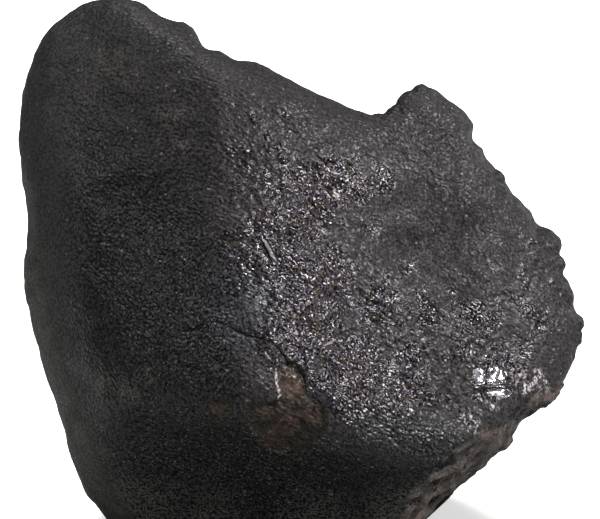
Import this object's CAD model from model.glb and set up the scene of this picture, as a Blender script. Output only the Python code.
# %% [markdown]
# # A stony meteorite
#
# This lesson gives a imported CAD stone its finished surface. The stone fell through the air, and its outside
# melted and froze again as a thin black skin, the fusion crust. Under the crust the rock is brown-grey. It
# shows where a corner has broken away and where a chip has come off the middle of the front.
#
# The CAD model holds the stone's size, its flats and where it rests. Everything finer is made here: the
# relief of the flats, the teeth along the rim, the broken corner, the chip, the cracks, the metal flakes
# and the materials.
#
# The first cell loads the frame. It keeps the CAD box, to compare it with the finished stone at the end.

# %% Load the frame
import math

import bpy
import numpy as np
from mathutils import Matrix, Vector, noise


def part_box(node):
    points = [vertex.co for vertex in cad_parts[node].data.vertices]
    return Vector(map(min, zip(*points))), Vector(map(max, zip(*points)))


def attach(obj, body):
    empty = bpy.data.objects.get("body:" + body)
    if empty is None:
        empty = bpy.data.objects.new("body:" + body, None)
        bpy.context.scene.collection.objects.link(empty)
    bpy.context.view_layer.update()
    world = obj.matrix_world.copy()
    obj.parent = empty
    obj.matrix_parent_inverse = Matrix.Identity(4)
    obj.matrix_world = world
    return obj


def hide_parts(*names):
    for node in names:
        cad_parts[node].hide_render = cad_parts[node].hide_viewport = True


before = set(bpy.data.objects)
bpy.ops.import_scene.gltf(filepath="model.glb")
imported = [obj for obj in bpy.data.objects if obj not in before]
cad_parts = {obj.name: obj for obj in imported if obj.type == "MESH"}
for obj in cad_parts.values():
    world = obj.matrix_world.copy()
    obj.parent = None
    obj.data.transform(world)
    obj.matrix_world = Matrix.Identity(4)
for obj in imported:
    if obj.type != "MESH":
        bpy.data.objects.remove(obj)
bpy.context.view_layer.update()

# %% [markdown]
# ## The stone's own frame
#
# The stone leans back by 20 degrees onto its underside. Its features are easier to place in a frame that
# leans with it: x to the right, y up along the front, z straight out of the front, all in millimetres from
# the stone's heart. `place` turns such a point into a point of the row frame, and `own_frame` does the
# opposite for many points.

# %% The stone's own frame
MM = 0.001
LEAN = math.radians(20)
HEART = (0.56, -1.41, 67)  # millimetres from the middle of the CAD box's underside
ACROSS = Vector((1, 0, 0))
UP = Vector((0, math.sin(LEAN), math.cos(LEAN)))
OUT = Vector((0, -math.cos(LEAN), math.sin(LEAN)))

low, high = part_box("meteorite")
heart = Vector((
    (low.x + high.x) / 2 + HEART[0] * MM,
    (low.y + high.y) / 2 + HEART[1] * MM,
    low.z + HEART[2] * MM,
))


def place(x, y, z):
    return heart + (ACROSS * x + UP * y + OUT * z) * MM


def own_frame(points):
    return (points - np.array(heart)) @ np.array([ACROSS, UP, OUT]).T / MM


print("heart of the stone in metres:", [round(c, 4) for c in heart])

# %% [markdown]
# ## The camera
#
# The camera looks straight at the front, so it looks down on the table at the same 20 degrees. It stands
# back with a long lens, which keeps the stone's shape free of strong perspective.

# %% The camera
CAMERA_DISTANCE = 0.70
CAMERA_AIM = (-0.7, 6.1, -0.5)  # in the stone's own frame
LENS = 158.7
SENSOR_WIDTH = 36

aim = place(*CAMERA_AIM)
camera_data = bpy.data.cameras.new("camera")
camera_data.lens = LENS
camera_data.sensor_width = SENSOR_WIDTH
camera = bpy.data.objects.new("camera", camera_data)
camera.location = aim + OUT * CAMERA_DISTANCE
camera.rotation_euler = (-OUT).to_track_quat("-Z", "Y").to_euler()
bpy.context.scene.collection.objects.link(camera)
bpy.context.scene.camera = camera
print("camera stands at", [round(c, 3) for c in camera.location])

# %% [markdown]
# ## The lamps
#
# The stone is nearly black, so what gives it form is how its crust mirrors the lamps. The key lamp is as
# wide as the stone, and stands where the big right flat mirrors it to the camera. That flat then sparkles,
# while the left flat and the chin stay dark. Weaker lamps draw the upper edge, the right edge, the broken
# corner and the low part of the front. Each is an area lamp aimed at the heart of the stone, and its
# direction is given in the stone's own frame, so that it is easy to set against a flat.

# %% The lamps
def add_lamp(name, towards, distance, size, power, colour=(1, 1, 1)):
    """Adds a square lamp at a distance in metres, with its width in metres and its power in watts."""
    direction = (ACROSS * towards[0] + UP * towards[1] + OUT * towards[2]).normalized()
    lamp_data = bpy.data.lights.new(name, "AREA")
    lamp_data.size = size
    lamp_data.energy = power
    lamp_data.color = colour
    lamp = bpy.data.objects.new(name, lamp_data)
    lamp.location = heart + direction * distance
    lamp.rotation_euler = (-direction).to_track_quat("-Z", "Y").to_euler()
    bpy.context.scene.collection.objects.link(lamp)
    return lamp


WARM_WHITE = (1.0, 0.96, 0.985)
key = add_lamp("key", towards=(0.68, 0.54, 0.42), distance=0.8, size=0.16, power=5.2, colour=WARM_WHITE)
add_lamp("upper left", towards=(-0.62, 0.60, 0.50), distance=0.9, size=0.34, power=1.15)
add_lamp("low right", towards=(0.95, -0.08, 0.25), distance=0.9, size=0.14, power=1.25)
add_lamp("above", towards=(0.10, 0.95, 0.05), distance=0.9, size=0.34, power=3.3)
add_lamp("behind right", towards=(0.70, 0.50, -0.50), distance=0.9, size=0.5, power=1.3)
add_lamp("low front", towards=(0.10, -0.33, 0.93), distance=0.9, size=0.12, power=0.8)

# %% [markdown]
# ## A lamp for the floor
#
# One more lamp, a spot from above and behind, draws the stone's soft shadow on the floor. Later it is linked
# to the floor alone, because on the stone it would leave a bright band.

# %% A lamp for the floor
FLOOR_LAMP_PLACE = (0, 0.7, 1.1)
FLOOR_LAMP_AIM = Vector((0.04, -0.25, -1.1))

floor_lamp_data = bpy.data.lights.new("floor lamp", "SPOT")
floor_lamp_data.energy = 115
floor_lamp_data.spot_size = math.radians(70)
floor_lamp_data.spot_blend = 0.6
floor_lamp_data.shadow_soft_size = 0.3
floor_lamp = bpy.data.objects.new("floor lamp", floor_lamp_data)
floor_lamp.location = FLOOR_LAMP_PLACE
floor_lamp.rotation_euler = FLOOR_LAMP_AIM.to_track_quat("-Z", "Y").to_euler()
bpy.context.scene.collection.objects.link(floor_lamp)
print("floor lamp:", floor_lamp_data.energy, "watts")

# %% [markdown]
# ## The backdrop
#
# The world is the pale backdrop. It could light the stone as brightly as it looks, but then the black crust
# would turn grey. Is Camera Ray is 1 only for what the camera sees directly, so a Map Range on it keeps the
# backdrop pale to the eye and weak as a light.

# %% The backdrop
BACKDROP_LIGHT = 0.18
BACKDROP_SEEN = 0.9

world = bpy.data.worlds.new("pale studio")
world.use_nodes = True
background = world.node_tree.nodes["Background"]
background.inputs["Color"].default_value = (1, 1, 1, 1)
seen = world.node_tree.nodes.new("ShaderNodeLightPath").outputs["Is Camera Ray"]
strength = world.node_tree.nodes.new("ShaderNodeMapRange")
strength.inputs["To Min"].default_value = BACKDROP_LIGHT
strength.inputs["To Max"].default_value = BACKDROP_SEEN
world.node_tree.links.new(seen, strength.inputs["Value"])
world.node_tree.links.new(strength.outputs["Result"], background.inputs["Strength"])
bpy.context.scene.world = world
bpy.context.scene.view_settings.view_transform = "Standard"
print("backdrop strength:", BACKDROP_SEEN, "to the eye,", BACKDROP_LIGHT, "as a light")

# %% [markdown]
# ## The floor
#
# The floor is a plain plane. Like the backdrop it should look pale and yet throw little light up at the
# crust, so it has one colour and a faint glow for the camera and a darker colour for every other ray. A Mix
# node keeps its two colours in inputs 6 and 7, and their blend in output 2.

# %% The floor
FLOOR_SIZE = 6
FLOOR_LIGHT = (0.28, 0.28, 0.28, 1)
FLOOR_SEEN = (0.9, 0.9, 0.9, 1)
FLOOR_GLOW = 0.55

bpy.ops.object.select_all(action="DESELECT")
bpy.ops.mesh.primitive_plane_add(size=FLOOR_SIZE, location=(0, 0, low.z))
floor = bpy.context.object
floor.name = "floor"
floor_paint = bpy.data.materials.new("pale floor")
floor_paint.use_nodes = True
floor_tree = floor_paint.node_tree
floor_shader = floor_tree.nodes["Principled BSDF"]
floor_shader.inputs["Roughness"].default_value = 0.9
floor_shader.inputs["Emission Color"].default_value = (1, 1, 1, 1)
floor_seen = floor_tree.nodes.new("ShaderNodeLightPath").outputs["Is Camera Ray"]
floor_tone = floor_tree.nodes.new("ShaderNodeMix")
floor_tone.data_type = "RGBA"
floor_tone.inputs[6].default_value = FLOOR_LIGHT
floor_tone.inputs[7].default_value = FLOOR_SEEN
floor_tree.links.new(floor_seen, floor_tone.inputs["Factor"])
floor_tree.links.new(floor_tone.outputs[2], floor_shader.inputs["Base Color"])
floor_glow = floor_tree.nodes.new("ShaderNodeMath")
floor_glow.operation = "MULTIPLY"
floor_glow.inputs[1].default_value = FLOOR_GLOW
floor_tree.links.new(floor_seen, floor_glow.inputs[0])
floor_tree.links.new(floor_glow.outputs[0], floor_shader.inputs["Emission Strength"])
floor.data.materials.append(floor_paint)
print("floor:", floor.dimensions.x, "m across")

# %% [markdown]
# ## What each lamp lights
#
# Light linking gives a lamp a collection of what it lights, or of what it leaves out. The floor lamp gets
# the floor alone, and the key lamp gets everything but the floor, which would otherwise mirror it.

# %% What each lamp lights
for name, state, lamp in (("floor only", "INCLUDE", floor_lamp), ("all but the floor", "EXCLUDE", key)):
    lit = bpy.data.collections.new(name)
    lit.objects.link(floor)
    lit.collection_objects[0].light_linking.link_state = state
    lamp.light_linking.receiver_collection = lit
    print(lamp.name, "lights", name)

# %% [markdown]
# ## A workable copy
#
# The CAD stone has triangles about 4 mm wide, each with its own corners. A copy is merged, rebuilt by
# voxel remesh as even quads a little over a millimetre wide, and smoothed until the CAD's facets are gone.
# Even quads suit a stone, because relief can then run in any direction.

# %% A workable copy
VOXEL = 1.15 * MM
MERGE_WITHIN = 0.01 * MM
SMOOTHINGS = 20

bpy.ops.object.select_all(action="DESELECT")
cad_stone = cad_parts["meteorite"]
cad_stone.select_set(True)
bpy.context.view_layer.objects.active = cad_stone
bpy.ops.object.duplicate()
stone = bpy.context.object
stone.name = "stone"
stone.parent = None
stone.data.materials.clear()

bpy.ops.object.mode_set(mode="EDIT")
bpy.ops.mesh.select_all(action="SELECT")
bpy.ops.mesh.remove_doubles(threshold=MERGE_WITHIN)
bpy.ops.object.mode_set(mode="OBJECT")


def apply_modifier(kind, **settings):
    modifier = stone.modifiers.new(kind.lower(), kind)
    for name, value in settings.items():
        setattr(modifier, name, value)
    bpy.ops.object.modifier_apply(modifier=modifier.name)


apply_modifier("REMESH", mode="VOXEL", voxel_size=VOXEL)
apply_modifier("SMOOTH", factor=0.5, iterations=SMOOTHINGS)
print("the copy has", len(stone.data.polygons), "faces")

# %% [markdown]
# ## Soft brushes
#
# Relief is limited by vertex groups, as if they were painted by hand. Here a group's weight is worked out
# for every corner of the mesh at once, with numpy, because a brush stroke in a script would need a window.
# `fade` is the soft brush: 1 in the middle of a spot and 0 from its radius on. `step_up` goes smoothly from
# 0 to 1 between two values. `wander` is smooth noise, which keeps edges from looking ruled.

# %% Soft brushes
FAINTEST = 0.002  # weights below this are left out of a group


def corners():
    flat = np.empty(len(stone.data.vertices) * 3, np.float32)
    stone.data.vertices.foreach_get("co", flat)
    return flat.reshape(-1, 3).astype(float)


def fade(distance, radius):
    return np.clip(1 - (distance / radius) ** 2, 0, 1) ** 2


def step_up(values, start, end):
    share = np.clip((values - start) / (end - start), 0, 1)
    return share * share * (3 - 2 * share)


def paint(name, weights):
    """Makes a vertex group of these weights, and gives back its name for a modifier."""
    group = stone.vertex_groups.new(name=name)
    for index in np.flatnonzero(weights > FAINTEST):
        group.add([int(index)], float(min(weights[index], 1)), "REPLACE")
    return name


def wander(points, length, seed=0.0):
    """Smooth noise from about -1 to 1 at each point, with waves of that length in millimetres."""
    shift = Vector((seed, 2 * seed, -seed))
    return np.array([noise.noise(Vector(p) / length + shift) for p in points])


print("brushes are ready for", len(corners()), "corners")

# %% [markdown]
# ## The three flats
#
# Three broad flats make the front: left, right and chin. Each is a plane, given by its normal and its
# distance from the heart in millimetres. How far a corner stands over each plane says which flat it belongs
# to, so no face has to be picked by hand.

# %% The three flats
FLAT_NORMALS = {"left": (-0.35, 0.23, 0.92), "right": (0.41, 0.32, 0.842), "chin": (0.1, -0.79, 0.605)}
FLAT_DISTANCES = {"left": 45.0, "right": 29.3, "chin": 61.0}


def over_flat(own, name):
    """How far each point stands over that flat's plane, in millimetres."""
    normal = np.array(FLAT_NORMALS[name]) / np.linalg.norm(FLAT_NORMALS[name])
    return own @ normal - FLAT_DISTANCES[name]


own = own_frame(corners())
for flat in FLAT_NORMALS:
    print("corners within 2 mm of the", flat, "flat:", int((np.abs(over_flat(own, flat)) < 2).sum()))

# %% [markdown]
# ## A softer ridge
#
# The left and right flats meet in a ridge down the front. It is crisp beside the chip and melts away
# towards the top, so the upper part of the ridge is smoothed. The Smooth modifier only works where its
# vertex group is painted.

# %% A softer ridge
RIDGE_REACH = (-20, -6)  # how far under both flats the ridge begins, and where it is all ridge
SOFT_FROM = (8, 34)  # how high on the front the softening begins, and where it is full
RIDGE_SMOOTHINGS = 600

on_ridge = step_up(np.minimum(over_flat(own, "left"), over_flat(own, "right")), *RIDGE_REACH)
paint("ridge", on_ridge * step_up(own[:, 1], *SOFT_FROM))
apply_modifier("SMOOTH", factor=0.5, iterations=RIDGE_SMOOTHINGS, vertex_group="ridge")
stone.vertex_groups.clear()
print("the ridge is softened over", int((on_ridge > 0.5).sum()), "corners")

# %% [markdown]
# ## Lines and outlines on the surface
#
# The chip, the cracks and the metal flakes are drawn in the stone's own x and y, and apply to the front
# only. `line_distance` gives every corner its distance from a line, `crack_reach` does so in half widths of
# a crack, and `outline_depth` gives the depth inside a closed outline: above zero inside, below zero
# outside. A depth can be stored as an attribute, and a material that reads it draws an edge far finer than
# the mesh.

# %% Lines and outlines on the surface
FAR = 50.0  # millimetres, the depth or reach of what lies nowhere near


def from_stretch(own, start, end):
    """Each point's distance from one straight stretch, and how far along it is nearest, from 0 to 1."""
    run = np.array(end) - start
    share = np.clip((own[:, :2] - start) @ run / (run @ run), 0, 1)
    return np.linalg.norm(own[:, :2] - start - share[:, None] * run, axis=1), share


def line_distance(own, line):
    return np.min([from_stretch(own, start, end)[0] for start, end in zip(line, line[1:])], axis=0)


def crack_reach(own, crack):
    """The distance of each point from a crack, in half widths of the crack beside it."""
    reaches = []
    for (ax, ay, a_width), (bx, by, b_width) in zip(crack, crack[1:]):
        distance, share = from_stretch(own, (ax, ay), (bx, by))
        reaches.append(distance / (a_width + share * (b_width - a_width)))
    return np.min(reaches, axis=0)


def outline_depth(own, outline):
    closed = outline + outline[:1]
    inside = np.zeros(len(own), bool)
    for (ax, ay), (bx, by) in zip(closed, closed[1:]):
        crosses = (ay > own[:, 1]) != (by > own[:, 1])
        along = ax + (own[:, 1] - ay) / (by - ay if by != ay else 1e-9) * (bx - ax)
        inside ^= crosses & (own[:, 0] < along)
    return np.where(inside, 1, -1) * line_distance(own, closed)


print("outline tools are ready")

# %% [markdown]
# ## The chip's outline
#
# In the middle of the front a chip of crust has come off. It has a narrow tongue at its top and a round
# plate below, and there is a second, smaller chip to its left. The outlines have only the points that their
# shapes need, because noise will break up the edges later. The points go round clockwise from the top of
# the tongue.

# %% The chip's outline
CHIP = [
    (-5.2, -19.4), (-2.7, -19.4), (-0.8, -21.3), (0.1, -23.7), (0.6, -26.2), (2.2, -28.2), (4.7, -29.9),
    (5.9, -33.6), (5.4, -36.6), (3.0, -38.1), (1.2, -40.3), (-0.8, -42.3), (-4.5, -42.6), (-8.7, -41.5),
    (-10.2, -39.8), (-12.6, -36.1), (-13.9, -32.4), (-13.6, -29.9), (-10.2, -29.3), (-6.4, -28.8),
    (-5.2, -27.4), (-5.9, -24.2), (-6.2, -20.8),
]
SMALL_CHIP = [(-24.2, -29.2), (-20.6, -28.8), (-17.8, -29.3), (-18.0, -32.4), (-19.6, -34.5), (-22.8, -33.3)]
print("chip:", len(CHIP), "points, small chip:", len(SMALL_CHIP), "points")

# %% [markdown]
# ## The cracks and the scratches
#
# One crack comes down from the left to the tongue and follows the right side of the chip, and a short one
# carries it on to the left. Two finer ones lie higher up, by the ridge and on the right flat, and a few
# bright scratches catch the light. Both are lines whose points hold x, y and half the width there, so that
# they can taper to nothing, as cracks do.

# %% The cracks and the scratches
CRACKS = [
    [
        (-24.5, -9.0, 0.08), (-21.5, -9.4, 0.15), (-19.0, -10.2, 0.17), (-16.5, -11.4, 0.19),
        (-14.2, -12.6, 0.20), (-12.0, -13.0, 0.18), (-9.2, -13.9, 0.18), (-7.4, -14.5, 0.19),
        (-5.5, -16.6, 0.20), (-4.4, -18.6, 0.26), (-3.3, -19.6, 0.32), (-1.8, -20.1, 0.26),
        (-0.5, -21.5, 0.20), (0.4, -23.8, 0.18), (0.9, -26.2, 0.16), (2.6, -28.2, 0.14), (4.9, -29.8, 0.10),
        (6.2, -31.8, 0.05),
    ],
    [(-31.0, -11.7, 0.08), (-28.2, -11.5, 0.22), (-26.0, -10.9, 0.25), (-24.2, -9.2, 0.10)],
    [(23.4, 25.8, 0.03), (23.0, 22.4, 0.07), (21.6, 18.4, 0.08), (19.4, 15.2, 0.06), (17.8, 12.4, 0.03)],
    [(-10.9, 11.6, 0.05), (-10.0, 9.8, 0.22), (-8.8, 7.4, 0.26), (-7.3, 5.2, 0.05)],
]
STREAKS = [
    [(-10.0, 11.6, 0.10), (-9.0, 9.8, 0.32), (-7.8, 7.4, 0.36), (-6.2, 5.2, 0.10)],
    [(-9.6, -16.4, 0.10), (-8.6, -17.8, 0.24), (-7.2, -19.5, 0.10)],
    [(5.0, -15.6, 0.10), (6.8, -14.8, 0.30), (8.4, -14.0, 0.10)],
    [(12.6, 36.4, 0.10), (14.0, 34.8, 0.24), (14.8, 33.6, 0.10)],
]


def path_of(crack):
    return [(x, y) for x, y, half_width in crack]


print(len(CRACKS), "cracks and", len(STREAKS), "scratches")

# %% [markdown]
# ## The metal flakes
#
# A stony meteorite holds grains of iron and nickel. At the lower right some of them lie bare, worn flat and
# bright: two plates side by side, a sliver under them and a third plate below.

# %% The metal flakes
FLAKES = {
    "dull plate": [(43.5, -22.3), (45.2, -21.6), (46.6, -22.4), (46.9, -25.7), (44.2, -25.8), (43.9, -24.2)],
    "bright plate": [
        (47.3, -22.6), (47.9, -21.6), (50.1, -21.5), (51.4, -22.7), (52.3, -25.7), (47.4, -25.8),
    ],
    "sliver": [(43.9, -26.3), (52.6, -26.3), (52.6, -26.6), (43.9, -26.7)],
    "lower plate": [
        (47.1, -27.9), (48.9, -27.6), (51.0, -27.1), (53.0, -27.4), (53.8, -28.4), (52.2, -29.4),
        (50.7, -29.7), (49.4, -28.7), (47.6, -28.9),
    ],
}


def flake_depths(own):
    """How deep each point lies inside the nearest flake's outline."""
    return np.max([outline_depth(own, outline) for outline in FLAKES.values()], axis=0)


print("flakes:", list(FLAKES))

# %% [markdown]
# ## The broken corner, the crumbs and the rim
#
# Three more places need detail. At the lower right a corner has broken off along one plane. The right flat
# is crumbly with burst bubbles round three middles. The rim is the outline of the front as it is seen, from
# the step beside the nose round to the broken corner. Each is worked out from planes and distances, so it
# goes on fitting after the mesh has been made finer.

# %% The broken corner, the crumbs and the rim
BREAK_NORMAL = np.array((0.63, -0.71, 0.31)) / math.sqrt(0.63**2 + 0.71**2 + 0.31**2)
BREAK_DISTANCE = 65.0
CRUST_LIP = 1.5  # how far the crust reaches over the broken face
CRUMBLY_SPOTS = [(0, 15), (8, -12), (38, -18)]  # x and y of each middle
CRUMBLY_RADIUS = 34


def break_depth(own):
    """How far each point lies behind the broken face, in millimetres, with the edge made to wander."""
    depth = BREAK_DISTANCE - own @ BREAK_NORMAL
    near = np.abs(depth) < 12
    depth[near] += 0.9 * wander(own[near], 6) + 0.5 * wander(own[near], 2.2, seed=3)
    return depth


def crumbly_share(own):
    """1 in the middle of the crumbly places on the right flat, and 0 off them."""
    on_right = step_up(over_flat(own, "right") - over_flat(own, "left"), -2, 4) * (own[:, 2] > 0)
    spots = [fade(np.linalg.norm(own[:, :2] - spot, axis=1), CRUMBLY_RADIUS) for spot in CRUMBLY_SPOTS]
    return on_right * np.max(spots, axis=0)


def rim_share(own):
    """1 on the rim of the front, and 0 off it."""
    along = step_up(own[:, 0] + own[:, 1], 8, 16) * (own @ BREAK_NORMAL < BREAK_DISTANCE + 3)
    return along * step_up(own[:, 2], -9, -4) * (1 - step_up(own[:, 2], 5, 10))


own = own_frame(corners())
print("broken face:", int((break_depth(own) < CRUST_LIP).sum()), "corners")
print("rim:", int((rim_share(own) > 0.5).sum()), "corners")

# %% [markdown]
# ## A finer mesh where the detail is
#
# Faces a millimetre wide are fine enough for the swells of the crust, but not for cracks, chip edges and
# crumbs. Only the faces near these are cut in two each way, because the whole stone at that size would be
# several times heavier. The faces are chosen in code, by place, and cut by Subdivide in edit mode.

# %% A finer mesh where the detail is
CHIP_MARGIN = 2.0
CRACK_MARGIN = 1.5
FLAKE_MARGIN = 1.2
BREAK_MARGIN = 2.0


def refine(chosen, cuts):
    """Cuts the faces whose corners are chosen into finer ones."""
    bpy.ops.object.mode_set(mode="EDIT")
    bpy.ops.mesh.select_mode(type="FACE")
    bpy.ops.mesh.select_all(action="DESELECT")
    bpy.ops.object.mode_set(mode="OBJECT")
    for face in stone.data.polygons:
        face.select = any(chosen[v] for v in face.vertices)
    bpy.ops.object.mode_set(mode="EDIT")
    bpy.ops.mesh.subdivide(number_cuts=cuts)
    bpy.ops.object.mode_set(mode="OBJECT")


front = own[:, 2] > 0
fine = (crumbly_share(own) > 0.5) | (rim_share(own) > 0.3)
for outline in (CHIP, SMALL_CHIP):
    fine |= front & (outline_depth(own, outline) > -CHIP_MARGIN)
for crack in CRACKS:
    fine |= front & (line_distance(own, path_of(crack)) < CRACK_MARGIN)
fine |= front & (flake_depths(own) > -FLAKE_MARGIN)
fine |= np.abs(break_depth(own) - CRUST_LIP) < BREAK_MARGIN
refine(fine, cuts=1)
print("refined to", len(stone.data.polygons), "faces")

# %% [markdown]
# ## Relief of the whole crust
#
# While the crust was molten the air pushed it about, so the flats are never quite flat. Two Displace
# modifiers with cloud textures do this: broad swells first, then the small lumps of the crust. Three more
# make the hollows and crumbs of the right flat, where bubbles burst as the crust froze. A sculpt brush would
# give the same shapes, but a texture repeats them exactly on every run.

# %% Relief of the whole crust
def cloud_texture(name, size, depth):
    """Smooth noise with waves of that size in millimetres, and finer waves up to that depth."""
    texture = bpy.data.textures.new(name, "CLOUDS")
    texture.noise_scale = size * MM
    texture.noise_depth = depth
    texture.noise_basis = "BLENDER_ORIGINAL"
    return texture


def displace(height, texture=None, group=""):
    """Moves the surface along its normal by up to half the height in mm, or all of it with no texture."""
    middle = 0.5 if texture else 0.0
    settings = {"strength": height * MM, "mid_level": middle, "vertex_group": group}
    settings["texture_coords"] = "LOCAL"
    if texture:
        settings["texture"] = texture
    apply_modifier("DISPLACE", **settings)


displace(1.2, cloud_texture("swells", size=9, depth=1))
displace(0.25, cloud_texture("lumps", size=3.2, depth=1))

paint("crumbly", crumbly_share(own_frame(corners())))
displace(1.4, cloud_texture("hollows", size=5.5, depth=1), group="crumbly")
displace(0.9, cloud_texture("crumbs", size=2.6, depth=2), group="crumbly")
displace(0.35, cloud_texture("fine crumbs", size=1.3, depth=1), group="crumbly")
stone.vertex_groups.clear()
print("relief is on the crust")

# %% [markdown]
# ## Teeth and dents along the rim
#
# The stone's outline is not smooth: a step beside the nose, a horn with a notch under it, a blunt tooth on
# the right, and small dents between them. Each is a spot with a radius and a height, and a dent's height is
# below zero. The brush is drawn out from front to back, so that each runs over the rim. What stands up has
# a firm edge, and what is sunken a soft and wider one, as hollows have.

# %% Teeth and dents along the rim
DRAWN_OUT = (1, 1, 0.15)  # the brush reaches about seven times as far from front to back
RIM_SPOTS = [  # x, y, radius, height
    (-69.5, 64.5, 9.0, 0.5), (-37.5, 71.5, 4.0, -1.0), (-30.0, 68.2, 3.6, 0.8), (-25.2, 62.2, 2.8, -2.0),
    (-18.0, 59.0, 3.5, -0.7), (-10.0, 57.0, 4.0, 0.3), (2.0, 50.5, 4.0, -0.5),  # the long slope
    (19.6, 44.6, 1.8, 0.5), (23.4, 46.4, 2.4, 0.5), (26.6, 49.4, 4.0, 1.0), (31.0, 52.6, 3.0, 0.7),
    (36.5, 50.2, 4.0, -0.6), (47.2, 39.0, 2.6, -2.5), (48.5, 33.4, 2.6, -0.6),  # the horn
    (53.4, 29.0, 3.0, 0.9), (56.4, 23.6, 1.8, -0.6), (63.4, 15.6, 3.0, -2.2),  # the right slope
    (68.0, 10.4, 3.2, 0.9), (69.6, 5.4, 2.6, 0.9), (69.6, 1.8, 1.4, -1.2), (71.8, -6.4, 1.8, -0.6),
    (74.0, -10.6, 3.0, 1.4), (74.0, -14.5, 3.0, 0.8),  # the right-hand end
    (65.0, -32.6, 3.2, 0.7), (57.4, -36.6, 3.2, -0.8), (55.0, -43.4, 3.4, 1.2), (47.0, -50.5, 3.0, 0.6),
    (-75.0, 36.5, 5.0, 0.5), (-73.5, 29.0, 5.0, 0.5), (-72.0, 15.5, 4.0, -0.4),  # the left side
    (-73.8, 4.0, 5.0, 0.6), (-73.4, -3.0, 4.0, 0.6), (-52.5, -60.5, 4.0, -1.0),
]


def press(spots):
    """Paints the raised and the sunken spots, and moves each group by its greatest height."""
    own = own_frame(corners())
    raised = np.zeros(len(own))
    sunken = np.zeros(len(own))
    for x, y, radius, height in spots:
        distance = np.linalg.norm((own - (x, y, 0)) * DRAWN_OUT, axis=1)
        if height > 0:
            raised = np.maximum(raised, step_up(1 - distance / radius, 0, 0.6) * height)
        else:
            sunken = np.maximum(sunken, fade(distance, 1.6 * radius) * -height)
    for name, weights, sign in (("raised", raised, 1), ("sunken", sunken, -1)):
        displace(sign * weights.max(), group=paint(name, weights / weights.max()))
    stone.vertex_groups.clear()


press(RIM_SPOTS)
paint("rim", rim_share(own_frame(corners())))
displace(0.4, cloud_texture("rim crumbs", size=2.8, depth=1), group="rim")
stone.vertex_groups.clear()
print(len(RIM_SPOTS), "spots pressed along the rim")

# %% [markdown]
# ## The broken corner
#
# At the lower right a corner has split off, and the rock inside shows. Its face is one rough plane, so how
# deep a corner of the mesh lies under that plane says which side of the crust's edge it is on. The face
# gets coarse hackles and steps, and the crust is left standing over it as a thin lip.

# %% The broken corner
bare = 1 - step_up(break_depth(own_frame(corners())), CRUST_LIP - 0.5, CRUST_LIP + 0.5)
paint("bare", bare)
hackles = bpy.data.textures.new("hackles", "VORONOI")
hackles.noise_scale = 7.5 * MM
hackles.distance_metric = "DISTANCE"
displace(2.6, hackles, group="bare")
displace(1.5, cloud_texture("broken lumps", size=3.5, depth=2), group="bare")
displace(0.35, cloud_texture("broken grain", size=1.2, depth=1), group="bare")
displace(-0.8, group="bare")
stone.vertex_groups.clear()
stone.data.update()
print("broken corner covers", int((bare > 0.5).sum()), "corners")

# %% [markdown]
# ## The chip sinks in
#
# Where the crust has chipped off, the surface lies lower by about the crust's thickness, with a steep edge.
# Noise is added to the depth inside the outline first, so that the edge is chipped and not drawn. Then three
# displacements sink the chip and roughen its floor.

# %% The chip sinks in
own = own_frame(corners())
front = own[:, 2] > 0
chip_depth = np.maximum(outline_depth(own, CHIP), outline_depth(own, SMALL_CHIP))
near_chip = front & (chip_depth > -4)
chip_depth[near_chip] += 0.5 * wander(own[near_chip], 2.5, seed=5)
chip_depth[near_chip] += 0.25 * wander(own[near_chip], 1.1, seed=7)
chip_depth[~front] = -FAR

chipped = step_up(chip_depth, -0.3, 0.5)
paint("chipped", chipped)
displace(-0.9, group="chipped")
displace(2.0, cloud_texture("chip hackles", size=5.0, depth=1), group="chipped")
displace(1.3, cloud_texture("chip grain", size=1.8, depth=2), group="chipped")
print("chip:", int((chipped > 0.5).sum()), "corners")

# %% [markdown]
# ## The cracks open
#
# The cracks are narrow grooves. A knife cut would be too straight, so each corner's place is shaken a little
# before its distance from the crack is measured, which makes the line jagged. The groove is deepest where
# the crack is widest.

# %% The cracks open
SHAKE = 0.30
GROOVE_RADIUS = 0.7
GROOVE_DEPTH = 0.7

jagged = own.copy()
jagged[front, 0] += SHAKE * wander(own[front], 1.7, seed=11)
jagged[front, 1] += SHAKE * wander(own[front], 1.7, seed=12)
groove = np.zeros(len(own))
for crack in CRACKS:
    distance = line_distance(jagged, path_of(crack))
    half_width = np.clip(distance / np.maximum(crack_reach(jagged, crack), 1e-3), 0, 0.5)
    groove = np.maximum(groove, fade(distance, GROOVE_RADIUS) * step_up(half_width, 0.03, 0.35))
paint("groove", groove * front)
displace(-GROOVE_DEPTH, group="groove")
print("groove:", int((groove > 0.3).sum()), "corners")

# %% [markdown]
# ## The flakes stand out
#
# Metal wears less than the stone round it, so the flakes stand a little proud of the crust. Their edges are
# firm, and their faces stay as level as the crust under them.

# %% The flakes stand out
FLAKE_HEIGHT = 0.45

raised = np.where(front, step_up(flake_depths(own), -0.25, 0.15), 0)
paint("flake", raised)
displace(FLAKE_HEIGHT, group="flake")
stone.vertex_groups.clear()
print("flakes:", int((raised > 0.5).sum()), "corners")

# %% [markdown]
# ## Resting on the table
#
# Relief has pushed some of the underside below the table. Every corner under the table is lifted to it,
# which leaves the stone standing on the same worn patch as the CAD stone.

# %% Resting on the table
points = corners()
sunk = points[:, 2] < low.z
points[sunk, 2] = low.z
stone.data.vertices.foreach_set("co", points.astype(np.float32).ravel())
stone.data.update()
bpy.ops.object.shade_smooth()
triangles = sum(len(face.vertices) - 2 for face in stone.data.polygons)
print(int(sunk.sum()), "corners lifted to the table;", triangles, "triangles")

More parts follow.
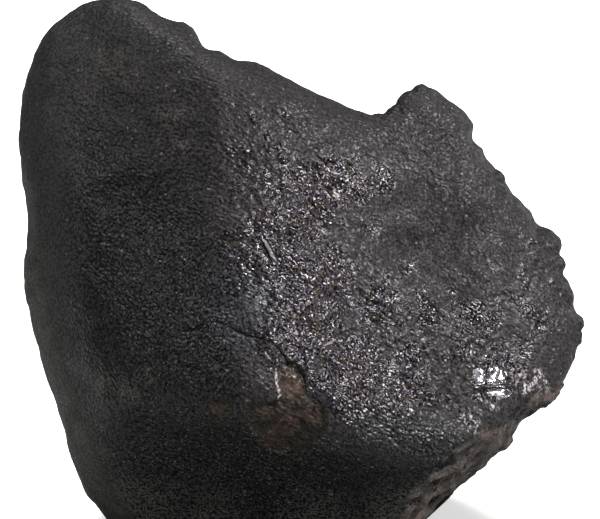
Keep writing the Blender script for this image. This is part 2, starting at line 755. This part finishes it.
# %% [markdown]
# ## Masks with sharp edges
#
# One material covers the stone, and attributes tell it what is where. The edges of the bare rock, the chip,
# the flakes, the cracks and the scratches are stored as depths or reaches. An attribute is blended between
# the corners of the mesh, and a depth stays smooth under that, while a stored 0 or 1 would turn jagged.

# %% Masks with sharp edges
own = own_frame(corners())
front = own[:, 2] > 0


def store(name, values):
    layer = stone.data.attributes.new(name, "FLOAT", "POINT")
    layer.data.foreach_set("value", np.asarray(values, np.float32))


store("bare_depth", CRUST_LIP - break_depth(own))
store("chip_depth", chip_depth)
store("flake_depth", np.where(front, flake_depths(own), -FAR))
reach = np.min([crack_reach(jagged, crack) for crack in CRACKS], axis=0)
store("crack_reach", np.where(front, reach, FAR))
reach = np.min([crack_reach(own, streak) for streak in STREAKS], axis=0)
store("streak_reach", np.where(front, reach, FAR))
print("sharp masks:", [layer.name for layer in stone.data.attributes if layer.data_type == "FLOAT"])

# %% [markdown]
# ## Masks of the three flats
#
# The right flat is frothy and glossy, the left flat finer and darker, and the chin almost black. Their
# shares come from how far each corner stands over the planes. The change from left to right is quick beside
# the chip and slow near the top, where the ridge is soft.

# %% Masks of the three flats
left, right, chin = (over_flat(own, name) for name in ("left", "right", "chin"))
softness = 1 + 8 * step_up(own[:, 1], 2, 38)
right_share = step_up((right - left + (1 + softness) * wander(own, 8)) / softness, -5, 2)
over_chin = chin - np.maximum(left, right) + 1.5 * wander(own, 8, seed=2)
chin_share = step_up(over_chin + 9 * step_up(own[:, 0], 4, 24), -9, 3)
store("right_flat", right_share * (1 - 0.8 * chin_share))
print("right flat:", int((right_share > 0.5).sum()), "corners, chin:", int((chin_share > 0.5).sum()))

# %% [markdown]
# ## Soft tints: the dark places
#
# Within a flat the crust changes slowly from place to place. Such a tint is painted with broad spots of the
# soft brush: x, y, radius and share, and the greatest share counts. The chin and the lower left are the
# darkest places. They and the middle of the left flat have the sharpest glints, as only clean crust has.

# %% Soft tints: the dark places
def tint(*spots):
    """The greatest of several soft spots on the front, each x, y, radius and share."""
    shares = []
    for x, y, radius, share in spots:
        shares.append(fade(np.linalg.norm(own[:, :2] - (x, y), axis=1), radius) * share)
    return np.max(shares, axis=0) * front


dark_left = tint((-38, -34, 28, 0.9))
store("chin", np.maximum(chin_share, dark_left))
chin_glints = chin_share * (1 - 0.75 * step_up(own[:, 0], 2, 20))
sparkle = tint((-18, -6, 42, 1.0), (-30, -30, 30, 0.9), (-38, 10, 26, 0.5))
store("glinting", np.max([sparkle, dark_left, chin_glints], axis=0))
store("blue", tint((-17, -6, 16, 0.8)))
print("glinting:", int((sparkle > 0.5).sum()), "corners on the left flat")

# %% [markdown]
# ## Soft tints: the right flat
#
# On the right flat, `gloss` is where the froth shines, `smooth` is where it has closed up, `worn` is where
# it has been rubbed dull, and `slick` is one glassy spot beside the ridge.

# %% Soft tints: the right flat
store("gloss", tint(
    (-1, 21, 20, 0.9), (9, 26, 13, 1.2), (-9, 8, 17, 1.1), (2, -2, 20, 1.2), (-2, -14, 15, 1.3),
    (12, -22, 16, 1.2), (25, -25, 16, 0.9), (20, -7, 16, 0.7), (35, -6, 16, 0.55), (43, -12, 20, 0.6),
    (52, -24, 16, 0.75), (60, -8, 16, 0.4), (-12, 32, 16, 0.5), (22, 12, 12, 0.3), (4, -25, 8, 1.1),
    (14, -29, 8, 1.2), (24, -32, 8, 1.0), (20, 27, 10, 0.6), (27, 35, 8, 0.45), (33, 3, 11, 0.4),
    (56, 4, 12, 0.4), (44, -1, 10, 0.4),
))
store("smooth", tint(
    (32, 42, 18, 1.0), (34, 20, 16, 0.9), (44, 16, 14, 0.7), (12, 42, 18, 0.5), (-6, 50, 14, 0.5),
))
store("worn", tint(
    (30, 12, 15, 1.0), (41, 14, 13, 0.9), (37, 3, 15, 1.0), (24, 22, 10, 0.5), (56, 8, 12, 0.8),
))
store("slick", tint((-11.8, -4.6, 4.2, 1.0), (-12.6, -1.8, 3.4, 0.8)))
print("right flat tints are stored")

# %% [markdown]
# ## Soft tints: dust and stains
#
# Dust lies on the nose, along the left edge and low on the chin. Some of it is olive or brown from the
# soil. The distance in from the left edge is worked out with the edge's own slope, so that the dust follows
# it down.

# %% Soft tints: dust and stains
LEFT_EDGE = -73
LEFT_SLOPE = 0.37  # how far the left edge comes in for each millimetre down from the heart

top = (1 - right_share) * step_up(own[:, 1] + 4 * wander(own, 12, seed=4), 30, 52)
from_edge = own[:, 0] - LEFT_EDGE + LEFT_SLOPE * np.minimum(own[:, 1], 0)
low_left = 1 - step_up(own[:, 1], -22, 2)
store("dusty", np.maximum(top, 1 - step_up(from_edge, 7 - 5 * low_left, 21 - 11 * low_left)))
store("left_rim", 1 - step_up(from_edge, 5 - 3 * low_left, 23 - 12 * low_left))
store("olive", tint(
    (-71, 4, 7, 1.0), (-70, -5, 7, 1.0), (-68, -13, 7, 1.0), (-64, -22, 6, 0.8), (-61, -31, 5, 0.8),
    (-58, -39, 5, 0.8), (-55, -47, 6, 0.9), (-50, -57, 12, 1.0), (-50.4, -25.2, 3.5, 1.0),
    (-38.9, -23, 3.5, 0.8), (-43.5, -27.5, 5, 0.5), (-18.5, -31.5, 2.8, 1.0),
))
store("brown", tint(
    (-50, 58, 6, 1.0), (-45, 53, 5, 0.7), (-57, 50, 5, 0.5), (-34, 44, 6, 0.6), (-31, 35, 4.5, 0.7),
    (46.8, 10.8, 3.4, 0.5), (39, 15, 3, 0.4),
))
store("low_dust", tint((-24, -66, 18, 0.9), (4, -66, 18, 1.0), (24, -62, 16, 1.0), (-40, -60, 14, 0.9)))
print("dust:", int((top > 0.5).sum()), "corners on the nose")

# %% [markdown]
# ## Soft tints: the chip and the bare rock
#
# The chip's tongue is light with rust, and its round plate has red spots. A pale line marks the crust's
# broken edge on the left of the tongue. Pale mineral grains lie round the flakes, and a light strip crosses
# the broken corner.

# %% Soft tints: the chip and the bare rock
store("tongue", tint((-2.6, -23.6, 5.6, 1.0), (-3.0, -20.5, 4.4, 1.0)))
store("rust", tint(
    (-2.4, -25.6, 4.5, 1.0), (-4.0, -22.0, 4, 0.5), (-22.2, -31, 3.4, 1.0), (-7, -39.5, 6, 0.22),
))
store("red", tint((2.2, -32.6, 4, 1.0), (-4.6, -34.4, 5, 1.0), (-11, -31, 4, 0.5), (-7, -38, 4, 0.6)))
store("chip_rim", tint(
    (-6.3, -22.5, 2.6, 1.0), (-5.8, -25.5, 2.6, 1.0), (-4.9, -28, 2.2, 0.8), (-8.2, -17.0, 1.6, 0.7),
))
store("pale", tint(
    (57.5, -25.5, 4.5, 1.0), (61, -24.5, 3.5, 0.8), (48.5, -30.3, 3.5, 0.8), (42.3, -34.5, 3.5, 0.8),
    (62.5, -26.5, 3.0, 0.8), (55.4, -22.6, 2.4, 0.8), (57.0, -27.4, 2.4, 0.8), (43.6, -36.4, 2.6, 0.9),
    (6.8, 28.3, 2.6, 0.6), (9.3, 23.0, 2.4, 0.9), (4.4, 13.9, 3.0, 0.7), (14.9, 26.7, 2.0, 0.6),
))
store("strip", tint(
    (35.0, -50.5, 2.4, 1.0), (34.6, -53.5, 2.4, 1.0), (33.8, -56.5, 2.4, 1.0), (32.0, -59.5, 2.6, 0.7),
))
print("masks:", [layer.name for layer in stone.data.attributes if layer.data_type == "FLOAT"])

# %% [markdown]
# ## Helpers for nodes
#
# A material is a tree of nodes. The helpers make one node each and hand back its output, so that a line of
# the script reads like a formula. `plug` links a socket to another node or gives it a plain value, `maths`
# adds a Math node, and `ramp` turns one range of values smoothly into another.

# %% Helpers for nodes
def plug(tree, socket, value):
    if isinstance(value, bpy.types.NodeSocket):
        tree.links.new(value, socket)
    else:
        socket.default_value = value


def node(tree, kind, **inputs):
    made = tree.nodes.new(kind)
    for name, value in inputs.items():
        plug(tree, made.inputs[name.replace("_", " ")], value)
    return made


def maths(tree, operation, *values):
    made = tree.nodes.new("ShaderNodeMath")
    made.operation = operation
    for socket, value in zip(made.inputs, values):
        plug(tree, socket, value)
    return made.outputs[0]


def ramp(tree, value, from_low, from_high, to_low=0.0, to_high=1.0):
    made = node(
        tree, "ShaderNodeMapRange", Value=value,
        From_Min=from_low, From_Max=from_high, To_Min=to_low, To_Max=to_high,
    )
    made.interpolation_type = "SMOOTHSTEP"
    return made.outputs["Result"]


FLOAT = "NodeSocketFloat"
VECTOR = "NodeSocketVector"


def new_group(name, inputs, outputs):
    """Makes a shader group with those sockets, and gives it back with its inside ends."""
    group = bpy.data.node_groups.new(name, "ShaderNodeTree")
    for label, kind in inputs.items():
        group.interface.new_socket(label, in_out="INPUT", socket_type=kind)
    for label, kind in outputs.items():
        group.interface.new_socket(label, in_out="OUTPUT", socket_type=kind)
    return group, group.nodes.new("NodeGroupInput").outputs, group.nodes.new("NodeGroupOutput")


print("node helpers are ready")

# %% [markdown]
# ## Froth
#
# The crust froze while it was full of tiny bubbles, a little under a millimetre wide. `Froth` is that grain:
# one plain noise with no finer detail, which gives even, rounded lumps, drawn out a little along the way the
# melt flowed. It is far too fine for the mesh, so it works in the material only.

# %% Froth
FROTH_STRETCH = (1, 0.9, 0.8)

froth, froth_in, froth_out = new_group("Froth", {"Place": VECTOR, "Scale": FLOAT}, {"Height": FLOAT})
drawn = node(froth, "ShaderNodeMapping", Vector=froth_in["Place"], Scale=FROTH_STRETCH)
bubbles = node(
    froth, "ShaderNodeTexNoise",
    Vector=drawn.outputs[0], Scale=froth_in["Scale"], Detail=0.0, Roughness=0.5, Distortion=0.2,
)
froth.links.new(bubbles.outputs["Fac"], froth_out.inputs["Height"])
print("group:", froth.name)

# %% [markdown]
# ## Specks
#
# Fine pale grains are scattered over the crust. `Specks` puts a round dot in the middle of some cells of a
# Voronoi texture. Each cell has a random colour, so comparing one number from it with the share picks the
# cells that get a dot.

# %% Specks
specks, specks_in, specks_out = new_group(
    "Specks", {"Place": VECTOR, "Scale": FLOAT, "Share": FLOAT, "Width": FLOAT}, {"Mask": FLOAT}
)
dots = node(specks, "ShaderNodeTexVoronoi", Vector=specks_in["Place"], Scale=specks_in["Scale"])
chosen = maths(specks, "LESS_THAN", maths(specks, "FRACT", dots.outputs["Color"]), specks_in["Share"])
near = maths(specks, "LESS_THAN", dots.outputs["Distance"], specks_in["Width"])
specks.links.new(maths(specks, "MULTIPLY", chosen, near), specks_out.inputs["Mask"])
print("group:", specks.name)

# %% [markdown]
# ## Ragged edge
#
# Crust breaks off in crumbs, so the edge of a chip is never a clean line. `Ragged edge` turns a stored depth
# into a mask, and swings the edge in and out with noise. Its reach says how far the edge swings, and its
# softness how wide it fades.

# %% Ragged edge
CRUMB_SCALE = 700.0  # noise scales are in waves per metre

ragged, ragged_in, ragged_out = new_group(
    "Ragged edge", {"Place": VECTOR, "Depth": FLOAT, "Reach": FLOAT, "Softness": FLOAT}, {"Mask": FLOAT}
)
crumbs = node(
    ragged, "ShaderNodeTexNoise", Vector=ragged_in["Place"], Scale=CRUMB_SCALE, Detail=4.0, Roughness=0.65
)
swing = maths(ragged, "MULTIPLY", maths(ragged, "SUBTRACT", crumbs.outputs["Fac"], 0.5), ragged_in["Reach"])
edge_depth = maths(ragged, "ADD", ragged_in["Depth"], swing)
mask = maths(ragged, "ADD", maths(ragged, "DIVIDE", edge_depth, ragged_in["Softness"]), 0.5)
clamped = node(ragged, "ShaderNodeClamp", Value=mask)
ragged.links.new(clamped.outputs[0], ragged_out.inputs["Mask"])
print("group:", ragged.name)

# %% [markdown]
# ## The material begins
#
# One material covers the whole stone, because its crust runs on from flat to flat with no seam. It reads
# Object coordinates, which are the stone's own place in metres, and the attributes that were stored. These
# helpers read an attribute, make noise and put one of the groups in.

# %% The material begins
crust = bpy.data.materials.new("fusion crust")
crust.use_nodes = True
tree = crust.node_tree
shader = tree.nodes["Principled BSDF"]
where = tree.nodes.new("ShaderNodeTexCoord").outputs["Object"]


def attribute(name):
    made = tree.nodes.new("ShaderNodeAttribute")
    made.attribute_name = name
    return made.outputs["Fac"]


def noise_of(scale, detail=3.0, roughness=0.55):
    made = node(tree, "ShaderNodeTexNoise", Vector=where, Scale=scale, Detail=detail, Roughness=roughness)
    return made.outputs["Fac"]


def use_group(group, **inputs):
    made = tree.nodes.new("ShaderNodeGroup")
    made.node_tree = group
    for name, value in {"Place": where, **inputs}.items():
        plug(tree, made.inputs[name], value)
    return made.outputs[0]


print("material:", crust.name)

# %% [markdown]
# ## Laying one finish over another
#
# A Mix node lays one colour or value over another by a share, as a painter lays a glaze. It has sockets for
# each kind of data: inputs 6 and 7 are its colours, and 2 and 3 its plain values. `shade` multiplies a
# colour by a grey, which darkens the hollows of the grain.

# %% Laying one finish over another
def blend_colour(share, under, over):
    made = tree.nodes.new("ShaderNodeMix")
    made.data_type = "RGBA"
    plug(tree, made.inputs["Factor"], share)
    for socket, value in ((made.inputs[6], under), (made.inputs[7], over)):
        plug(tree, socket, value if isinstance(value, bpy.types.NodeSocket) else (*value, 1))
    return made.outputs[2]


def blend_value(share, under, over):
    made = tree.nodes.new("ShaderNodeMix")
    for socket, value in ((made.inputs["Factor"], share), (made.inputs[2], under), (made.inputs[3], over)):
        plug(tree, socket, value)
    return made.outputs[0]


def shade(colour, amount):
    """Multiplies a colour by a grey that changes over the surface."""
    made = tree.nodes.new("ShaderNodeMix")
    made.data_type = "RGBA"
    made.blend_type = "MULTIPLY"
    made.inputs["Factor"].default_value = 1
    tree.links.new(colour, made.inputs[6])
    tree.links.new(amount, made.inputs[7])
    return made.outputs[2]


print("blends are ready")

# %% [markdown]
# ## The crust's tints
#
# Fusion crust is black glass with magnetite in it, but it is not one black. The right flat leans to lilac
# and warm grey where it shines, a patch beside the ridge is bluish, and dust makes the nose and the edges
# grey, olive or brown. Each tint is laid over the last by its mask, and noise breaks up those that lie in
# spots.

# %% The crust's tints
BLACK_CRUST = (0.0112, 0.0111, 0.0114)
BROWN_CRUST = (0.0130, 0.0121, 0.0117)
DUSTY_CRUST = (0.041, 0.0382, 0.0378)
GREY_CRUST = (0.0138, 0.0116, 0.0121)
LILAC_CRUST = (0.0220, 0.0175, 0.0248)
WARM_CRUST = (0.0285, 0.0225, 0.0185)
WORN_CRUST = (0.0088, 0.0075, 0.0076)
RIM_CRUST = (0.038, 0.0382, 0.0368)
OLIVE_CRUST = (0.062, 0.066, 0.046)
BROWN_DUST = (0.064, 0.049, 0.046)
LOW_DUST = (0.050, 0.049, 0.046)
CHIN_CRUST = (0.0092, 0.0091, 0.0090)
BLUE_CRUST = (0.019, 0.020, 0.026)
SLICK_CRUST = (0.040, 0.042, 0.050)
MOTTLE_SCALE = 90.0
WEAR_SCALE = 210.0
BLOTCH_SCALE = 230.0
TINT_SCALE = 420.0

mottle = ramp(tree, noise_of(MOTTLE_SCALE), 0.42, 0.62)
colour = blend_colour(mottle, BLACK_CRUST, BROWN_CRUST)
colour = blend_colour(attribute("dusty"), colour, DUSTY_CRUST)
worn = maths(tree, "MULTIPLY", attribute("worn"), ramp(tree, noise_of(WEAR_SCALE, detail=4.0), 0.36, 0.58))
gloss_patches = ramp(tree, noise_of(TINT_SCALE, detail=2.0), 0.42, 0.60)
gloss_tint = blend_colour(gloss_patches, LILAC_CRUST, WARM_CRUST)
right_tint = blend_colour(attribute("gloss"), blend_colour(worn, GREY_CRUST, WORN_CRUST), gloss_tint)
colour = blend_colour(attribute("right_flat"), colour, right_tint)
plain_tints = (
    ("blue", BLUE_CRUST), ("slick", SLICK_CRUST), ("chin", CHIN_CRUST), ("left_rim", RIM_CRUST),
    ("low_dust", LOW_DUST),
)
for name, tone in plain_tints:
    colour = blend_colour(attribute(name), colour, tone)
blotch = ramp(tree, noise_of(BLOTCH_SCALE, detail=4.0, roughness=0.6), 0.35, 0.60)
for name, tone in (("olive", OLIVE_CRUST), ("brown", BROWN_DUST)):
    colour = blend_colour(maths(tree, "MULTIPLY", attribute(name), blotch), colour, tone)
print("the crust's tints are laid")

# %% [markdown]
# ## The rock in the chip
#
# Under the crust the chip shows dark brown rock with red and light rust. Its edge is firm round the tongue,
# where the crust broke off clean, and vague round the plate, where it has worn thin. A narrow pale band just
# outside the tongue's left edge is the broken side of the crust itself.

# %% The rock in the chip
DARK_CHIP = (0.010, 0.009, 0.006)
BROWN_CHIP = (0.037, 0.029, 0.020)
RED_RUST = (0.066, 0.034, 0.026)
RUST = (0.108, 0.066, 0.048)
PALE_RIM = (0.34, 0.29, 0.28)
GRIT_SCALE = 520.0
RUST_SCALE = 800.0
FIRM_EDGE = {"Reach": 1.2, "Softness": 0.5}
VAGUE_EDGE = {"Reach": 7.0, "Softness": 2.6}
RIM_OUTSIDE = 0.45  # how far outside the chip's edge the middle of the pale band lies

vague = use_group(ragged, Depth=attribute("chip_depth"), **VAGUE_EDGE)
firm = use_group(ragged, Depth=attribute("chip_depth"), **FIRM_EDGE)
chip_mask = blend_value(ramp(tree, attribute("tongue"), 0.0, 0.3), vague, firm)
chip_grit = ramp(tree, noise_of(GRIT_SCALE, detail=4.0, roughness=0.7), 0.42, 0.60)
chip_rock = blend_colour(chip_grit, DARK_CHIP, BROWN_CHIP)
red_grit = ramp(tree, noise_of(TINT_SCALE, detail=2.0), 0.44, 0.56)
rust_grit = ramp(tree, noise_of(RUST_SCALE, detail=2.0), 0.34, 0.62, 0.55, 1.0)
chip_stains = (("red", red_grit, RED_RUST), ("rust", rust_grit, RUST), ("olive", blotch, OLIVE_CRUST))
for name, spots, tone in chip_stains:
    chip_rock = blend_colour(maths(tree, "MULTIPLY", attribute(name), spots), chip_rock, tone)
colour = blend_colour(chip_mask, colour, chip_rock)

from_rim = maths(tree, "ABSOLUTE", maths(tree, "ADD", attribute("chip_depth"), RIM_OUTSIDE))
rim_band = ramp(tree, from_rim, 0.15, 0.40, 1.0, 0.0)
rim_mask = maths(tree, "MULTIPLY", rim_band, ramp(tree, attribute("chip_rim"), 0.2, 0.5))
colour = blend_colour(rim_mask, colour, PALE_RIM)
print("the chip has its rock")

# %% [markdown]
# ## The bare rock and the pale grains
#
# The broken corner shows the rock as it is inside: brown-grey, with darker veins and pinkish grains, and one
# light strip. Pale mineral grains also lie in the crust round the metal flakes.

# %% The bare rock and the pale grains
BARE_ROCK = (0.104, 0.092, 0.081)
DARK_ROCK = (0.052, 0.044, 0.039)
PINK_ROCK = (0.125, 0.096, 0.086)
STRIP_ROCK = (0.190, 0.158, 0.138)
PALE_GRAINS = (0.40, 0.37, 0.37)
VEIN_SCALE = 260.0
PINK_SCALE = 150.0
PALE_SCALE = 620.0
BARE_EDGE = {"Reach": 1.6, "Softness": 0.5}

bare_mask = use_group(ragged, Depth=attribute("bare_depth"), **BARE_EDGE)
veins = ramp(tree, noise_of(VEIN_SCALE, detail=5.0, roughness=0.7), 0.43, 0.61)
rock = blend_colour(veins, DARK_ROCK, BARE_ROCK)
rock = blend_colour(ramp(tree, noise_of(PINK_SCALE), 0.56, 0.66), rock, PINK_ROCK)
rock = blend_colour(attribute("strip"), rock, STRIP_ROCK)
colour = blend_colour(bare_mask, colour, rock)
pale_grit = ramp(tree, noise_of(PALE_SCALE, detail=2.0, roughness=0.6), 0.48, 0.58)
colour = blend_colour(maths(tree, "MULTIPLY", attribute("pale"), pale_grit), colour, PALE_GRAINS)
print("the broken corner has its rock")

# %% [markdown]
# ## Grain, specks and salt
#
# The froth is darker in its hollows and lighter on its lumps. How strongly differs: soft on dust and rock,
# even on the right flat, harsh on the left, and harshest where clean crust glints. Each strength is a ramp
# on the same noise. Pale specks lie all over, and finer ones, like salt, only on the glinting crust.

# %% Grain, specks and salt
GRAIN_SCALE = 1700.0
GRAIN_RAMPS = {  # the range of the noise, and the range of greys that it becomes
    "soft": (0.32, 0.68, 0.65, 1.40),
    "even": (0.36, 0.64, 0.12, 2.05),
    "harsh": (0.38, 0.62, 0.05, 2.10),
    "glinting": (0.42, 0.58, 0.0, 2.5),
}
PALE_SPECK = (0.13, 0.125, 0.125)
SALT = (0.110, 0.107, 0.106)

fine_grain = use_group(froth, Scale=GRAIN_SCALE)
grains = {name: ramp(tree, fine_grain, *limits) for name, limits in GRAIN_RAMPS.items()}
glinting = attribute("glinting")
left_grain = blend_value(glinting, grains["harsh"], grains["glinting"])
crust_grain = blend_value(attribute("right_flat"), left_grain, grains["even"])
off_crust = maths(tree, "MAXIMUM", chip_mask, bare_mask)
soft_share = maths(tree, "MAXIMUM", attribute("dusty"), off_crust)
colour = shade(colour, blend_value(soft_share, crust_grain, grains["soft"]))
colour = blend_colour(use_group(specks, Scale=900.0, Share=0.13, Width=0.32), colour, PALE_SPECK)
salt_share = maths(tree, "MULTIPLY", glinting, maths(tree, "SUBTRACT", 1.0, off_crust))
salt = maths(tree, "MULTIPLY", salt_share, use_group(specks, Scale=1500.0, Share=0.34, Width=0.36))
colour = blend_colour(salt, colour, SALT)
print("grain ramps:", list(grains))

# %% [markdown]
# ## Cracks, scratches and metal
#
# A crack is dark because no light comes back out of it, so it gets a black line that fades out just past its
# edges. A scratch is bright, and bare metal is brighter still. Metallic is 1 on the flakes alone, so they
# mirror the lamps as metal does.

# %% Cracks, scratches and metal
CRACK_BLACK = (0.004, 0.004, 0.004)
SCRATCH_GREY = (0.30, 0.28, 0.29)
DULL_METAL = (0.26, 0.245, 0.26)
METAL = (0.50, 0.48, 0.51)
PLATE_SCALE = 330.0
FLAKE_EDGE = {"Reach": 0.35, "Softness": 0.15}

crack_line = ramp(tree, attribute("crack_reach"), 0.8, 1.8, 1.0, 0.0)
colour = blend_colour(crack_line, colour, CRACK_BLACK)
scratch_line = ramp(tree, attribute("streak_reach"), 0.8, 1.6, 1.0, 0.0)
colour = blend_colour(scratch_line, colour, SCRATCH_GREY)
flake_mask = use_group(ragged, Depth=attribute("flake_depth"), **FLAKE_EDGE)
plates = ramp(tree, noise_of(PLATE_SCALE, detail=3.0), 0.40, 0.56)
colour = blend_colour(flake_mask, colour, blend_colour(plates, DULL_METAL, METAL))
tree.links.new(colour, shader.inputs["Base Color"])
tree.links.new(flake_mask, shader.inputs["Metallic"])
print("the colour is complete")

# %% [markdown]
# ## Shine
#
# On a nearly black stone the shine does more than the colour. Each kind of crust has a low and a high
# roughness, and fine noise picks between them grain by grain, so that the lamps show as many small glints
# and not as one soft spot. On the right flat the glossy froth comes in patches, where `gloss` and a coarser
# noise together pass a limit.

# %% Shine
ROUGHNESS = {
    "glossy": (0.10, 0.23), "matt": (0.22, 0.50), "glinting": (0.15, 0.42), "satin": (0.36, 0.66),
    "smooth": (0.42, 0.84), "worn": (0.66, 0.92), "dusty": (0.55, 0.80),
}
SPECKLE_SCALE = 1700.0
PATCH_SCALE = 140.0
PATCH_SWING = 2.4
DULL_ROCK = 0.3  # added to the roughness off the crust

speckle = ramp(tree, noise_of(SPECKLE_SCALE, detail=1.0), 0.42, 0.58)
rough = {name: blend_value(speckle, *pair) for name, pair in ROUGHNESS.items()}
patch_noise = maths(tree, "SUBTRACT", noise_of(PATCH_SCALE, detail=5.0, roughness=0.6), 0.5)
patchy = ramp(tree, maths(tree, "MULTIPLY_ADD", patch_noise, PATCH_SWING, attribute("gloss")), 0.15, 0.75)
patchy = maths(tree, "MULTIPLY", patchy, attribute("right_flat"))
satin = blend_value(attribute("smooth"), rough["satin"], rough["smooth"])
satin = blend_value(worn, satin, rough["worn"])
matt = blend_value(glinting, rough["matt"], rough["glinting"])
shine = blend_value(attribute("right_flat"), matt, satin)
shine = blend_value(attribute("dusty"), shine, rough["dusty"])
shine = blend_value(patchy, shine, rough["glossy"])
dull_chip = maths(tree, "MULTIPLY", chip_mask, 0.5)
dull = maths(tree, "MAXIMUM", maths(tree, "MAXIMUM", dull_chip, bare_mask), crack_line)
roughness = maths(tree, "MULTIPLY_ADD", dull, DULL_ROCK, shine)
tree.links.new(roughness, shader.inputs["Roughness"])
shader.inputs["Specular IOR Level"].default_value = 0.32
print("kinds of shine:", list(rough))

# %% [markdown]
# ## Relief finer than the mesh
#
# The last grain is smaller than a face of the mesh, so two Bump nodes make it: coarse pits first, then the
# frozen drops of the froth on top. The drops are drawn out and lean with the flow, by a Mapping node. Their
# height differs from place to place, and is lowest on slick crust and on metal.

# %% Relief finer than the mesh
DROP_SCALE = 1300.0
PIT_SCALE = 560.0
FLOW_LEAN = math.radians(25)
FLOW_STRETCH = (1.5, 1, 0.95)
PIT_DISTANCE = 0.26 * MM
PORE_DISTANCE = 0.2 * MM

rough_chip = maths(tree, "MULTIPLY", chip_mask, maths(tree, "SUBTRACT", 1.0, attribute("tongue")))
dusty_drops = blend_value(glinting, 0.9, 2.4)
drop_heights = (  # where, and how high the drops stand there, each place laid over those before it
    (attribute("right_flat"), 1.3), (attribute("smooth"), 1.25), (attribute("dusty"), dusty_drops),
    (attribute("slick"), 0.5), (bare_mask, 0.9), (rough_chip, 2.8), (patchy, 1.8), (flake_mask, 0.35),
)
depth = blend_value(glinting, 1.5, 3.1)
for share, drop_height in drop_heights:
    depth = blend_value(share, depth, drop_height)

flow = node(tree, "ShaderNodeMapping", Vector=where, Rotation=(0, FLOW_LEAN, 0), Scale=FLOW_STRETCH)
flow.vector_type = "TEXTURE"
drops = node(tree, "ShaderNodeTexNoise", Vector=flow.outputs[0], Scale=DROP_SCALE, Detail=0.0)
height = maths(tree, "MULTIPLY", drops.outputs["Fac"], depth)
height = maths(tree, "MULTIPLY_ADD", fine_grain, 0.25, height)
height = maths(tree, "MULTIPLY_ADD", crack_line, -3.0, height)
pit_share = blend_value(attribute("right_flat"), 0.25, 1.0)
pit_height = maths(tree, "MULTIPLY", noise_of(PIT_SCALE, detail=0.0), pit_share)
pits = node(tree, "ShaderNodeBump", Height=pit_height, Strength=1.0, Distance=PIT_DISTANCE)
pores = node(
    tree, "ShaderNodeBump", Height=height, Strength=1.0, Distance=PORE_DISTANCE, Normal=pits.outputs[0]
)
tree.links.new(pores.outputs[0], shader.inputs["Normal"])
stone.data.materials.append(crust)
print("material", crust.name, "has", len(tree.nodes), "nodes")

# %% [markdown]
# ## Handing the stone over
#
# The stone rides on the one body there is, stands for the CAD node and takes its finish from the crust's
# slot. Both boxes are written down, to show that the finished stone keeps to the CAD stone's size.

# %% Handing the stone over
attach(stone, "root")
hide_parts("meteorite")
